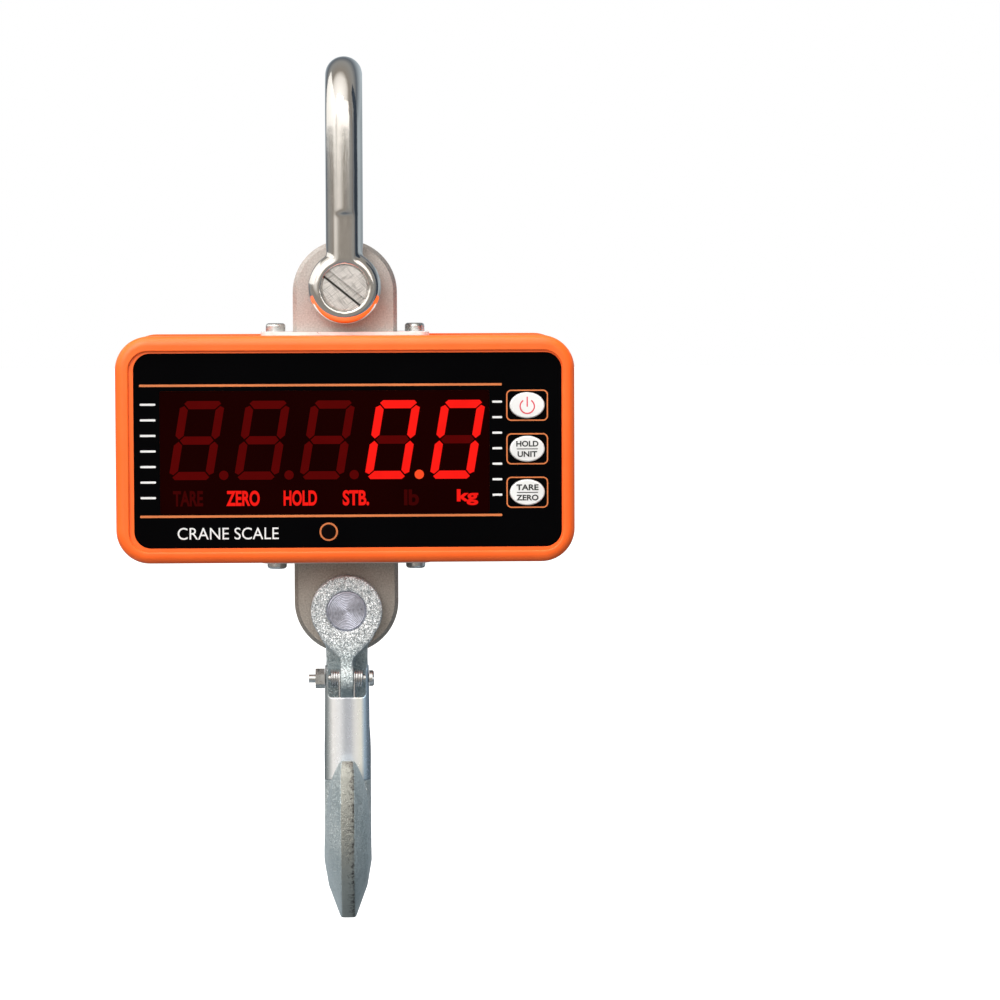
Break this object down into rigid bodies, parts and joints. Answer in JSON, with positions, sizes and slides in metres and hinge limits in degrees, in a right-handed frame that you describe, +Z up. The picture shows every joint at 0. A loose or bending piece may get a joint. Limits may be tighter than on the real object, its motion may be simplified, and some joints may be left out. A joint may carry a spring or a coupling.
{
  "type": "crane scale",
  "caption": "Hanging digital crane scale: shackle on top, boxed load cell with a front display and keys, clevis hook with a spring latch below.",
  "frame": {"origin": "where a crane's hook bears on the inside of the shackle's crown", "axes": "+Z up, +Y from the display to the rear cover, +X to the right of the display seen from the front"},
  "size_m": [0.1774, 0.0823, 0.3409],
  "materials": {
    "stainless": "polished",
    "pin_steel": "machined",
    "zinc_forged": "zinc plated, rough forged",
    "zinc_hardware": "zinc plated",
    "zinc_sheet": "zinc plated sheet",
    "spring_steel": "drawn wire",
    "cell_metal": "fine sanded",
    "gauge_foil": "foil on film",
    "plate_aluminium": "satin",
    "orange_paint": "satin powder coat",
    "black_rubber": "matte",
    "black_steel": "black oxide",
    "panel_black": "smooth, slight gloss",
    "window_red": "smooth, slight gloss",
    "key_white": "satin",
    "board_green": "solder mask",
    "switch_plastic": "moulded",
    "led_plastic": "moulded",
    "lens_dark": "polished",
    "battery_wrap": "heat shrink",
    "foam": "open foam",
    "door_black": "fine texture",
    "brass_pillars": "turned",
    "jack_plastic": "moulded",
    "cable_grey": "extruded",
    "cable_red": "extruded"
  },
  "bodies": {
    "shackle": {"shackle_bow": "stainless", "shackle_pin": "pin_steel"},
    "power_key": {"power_key": "key_white"},
    "hold_key": {"hold_key": "key_white"},
    "tare_key": {"tare_key": "key_white"},
    "plug": {"dust_plug": "black_rubber"},
    "hook": {"hook_body": "zinc_forged", "clevis_pin": "pin_steel", "latch_bolt": "zinc_hardware", "latch_nut": "zinc_hardware", "latch_spring": "spring_steel"},
    "latch": {"safety_latch": "zinc_sheet"},
    "scale": {"load_cell": "cell_metal", "strain_gauges": "gauge_foil", "gauge_covers": "plate_aluminium", "front_bezel": "orange_paint", "front_gasket": "black_rubber", "housing_shell": "orange_paint", "rear_gasket": "black_rubber", "rear_cover": "orange_paint", "case_screws": "zinc_hardware", "top_plate": "plate_aluminium", "top_seal": "black_rubber", "top_collar": "plate_aluminium", "top_plate_bolts": "zinc_hardware", "bottom_plate": "plate_aluminium", "bottom_seal": "black_rubber", "bottom_collar": "plate_aluminium", "bottom_plate_bolts": "zinc_hardware", "cell_screws": "black_steel", "front_panel": "panel_black", "display_window": "window_red", "key_board": "board_green", "key_switches": "switch_plastic", "display_board": "board_green", "led_digit_1": "led_plastic", "led_digit_2": "led_plastic", "led_digit_3": "led_plastic", "led_digit_4": "led_plastic", "led_digit_5": "led_plastic", "status_light_bar": "led_plastic", "infrared_lens": "lens_dark", "infrared_receiver": "switch_plastic", "battery_pack": "battery_wrap", "battery_pad": "foam", "battery_door": "door_black", "battery_door_screws": "zinc_hardware", "main_board": "board_green", "board_pillars": "brass_pillars", "board_screws": "zinc_hardware", "buzzer": "switch_plastic", "charge_socket": "jack_plastic", "charge_socket_nut": "zinc_hardware", "rating_plate": "plate_aluminium", "gauge_cable": "cable_grey", "battery_lead": "cable_red", "display_ribbon": "cable_grey"}
  },
  "joints": [
    {"name": "shackle_swing", "type": "hinge", "parent": "shackle", "child": "scale", "pos_m": [0, 0, -0.0762], "axis": [0, 1, 0], "range_deg": [-90, 90]},
    {"name": "hook_swing", "type": "hinge", "parent": "scale", "child": "hook", "pos_m": [0, 0, -0.2025], "axis": [0, 1, 0], "range_deg": [-80, 80]},
    {"name": "latch_pivot", "type": "hinge", "parent": "hook", "child": "latch", "pos_m": [0, -0.019, -0.229], "axis": [1, 0, 0], "range_deg": [0, 30], "stiffness_Nm_per_rad": 0.12, "springref_deg": -34.38, "deforming": ["latch_spring"]},
    {"name": "power_key_press", "type": "slide", "parent": "scale", "child": "power_key", "axis": [0, 1, 0], "range_m": [0, 0.0006], "stiffness_N_per_m": 900, "springref_m": -0.0004},
    {"name": "hold_key_press", "type": "slide", "parent": "scale", "child": "hold_key", "axis": [0, 1, 0], "range_m": [0, 0.0006], "stiffness_N_per_m": 900, "springref_m": -0.0004},
    {"name": "tare_key_press", "type": "slide", "parent": "scale", "child": "tare_key", "axis": [0, 1, 0], "range_m": [0, 0.0006], "stiffness_N_per_m": 900, "springref_m": -0.0004},
    {"name": "dust_plug_pull", "type": "slide", "parent": "scale", "child": "plug", "axis": [0, 1, 0], "range_m": [0, 0.009]}
  ]
}
